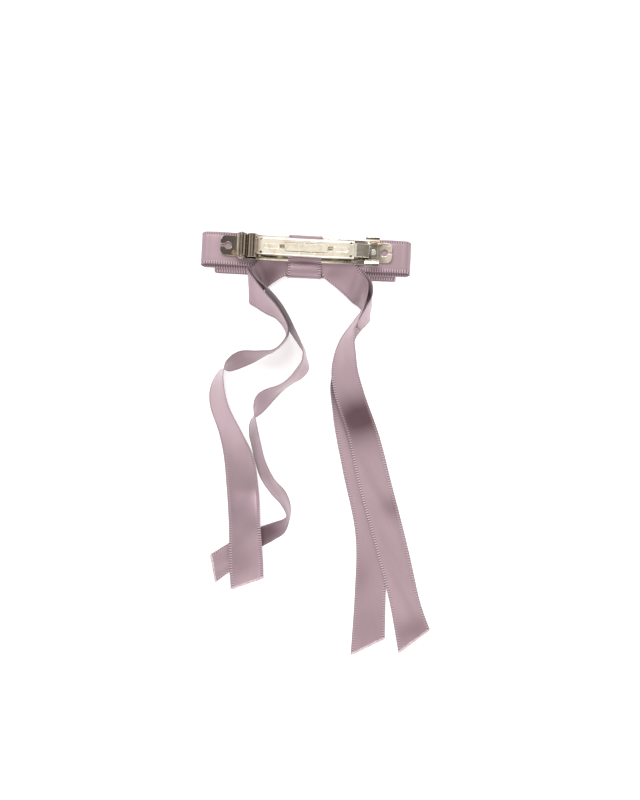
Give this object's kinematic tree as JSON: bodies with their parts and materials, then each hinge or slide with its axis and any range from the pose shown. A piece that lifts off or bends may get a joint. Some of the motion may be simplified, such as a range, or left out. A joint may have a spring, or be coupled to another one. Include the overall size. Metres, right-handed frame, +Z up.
{
  "type": "hair barrette",
  "caption": "Satin ribbon bow with long loose tails, mounted on an arched metal barrette with a hinged clasp arm, a tension strip and squeeze-release catch tabs",
  "frame": {"origin": "on the flat front face of the bow's knot, under the middle of the barrette", "axes": "+X along the barrette from hinge to catch, +Y away from the ribbon tails, +Z up out of the clasp side"},
  "size_m": [0.1149, 0.1936, 0.0164],
  "materials": {
    "champagne_metal": "polished pale gold plating",
    "bright_steel": "polished",
    "satin_ribbon": "satin, dusty mauve",
    "thread": "matte sewing thread",
    "glue": "dried clear adhesive"
  },
  "bodies": {
    "root": {"base_plate": "champagne_metal", "hinge_pin": "bright_steel", "tension_spring": "bright_steel", "strip_rivet": "bright_steel", "catch_bracket": "champagne_metal", "catch_rivet": "bright_steel", "outer_loop": "satin_ribbon", "inner_loop": "satin_ribbon", "knot_wrap": "satin_ribbon", "tail_left_front": "satin_ribbon", "tail_left_back": "satin_ribbon", "tail_right_front": "satin_ribbon", "tail_right_back": "satin_ribbon", "gathering_thread": "thread", "glue_pads": "glue"},
    "clasp_arm_body": {"clasp_arm": "champagne_metal"},
    "upper_tab_body": {"release_tab_upper": "champagne_metal"},
    "lower_tab_body": {"release_tab_lower": "champagne_metal"}
  },
  "joints": [
    {"name": "clasp_open", "type": "hinge", "parent": "root", "child": "clasp_arm_body", "pos_m": [-0.03, 0, 0.0093], "axis": [0, -1, 0], "range_deg": [0, 75]},
    {"name": "upper_tab_squeeze", "type": "hinge", "parent": "root", "child": "upper_tab_body", "pos_m": [0.03129, 0.00422, 0.00626], "axis": [0.9903, 0, 0.1393], "range_deg": [0, 8], "stiffness_Nm_per_rad": 0.02},
    {"name": "lower_tab_squeeze", "type": "hinge", "parent": "root", "child": "lower_tab_body", "pos_m": [0.03129, -0.00422, 0.00626], "axis": [-0.9903, 0, -0.1393], "range_deg": [0, 8], "stiffness_Nm_per_rad": 0.02}
  ]
}
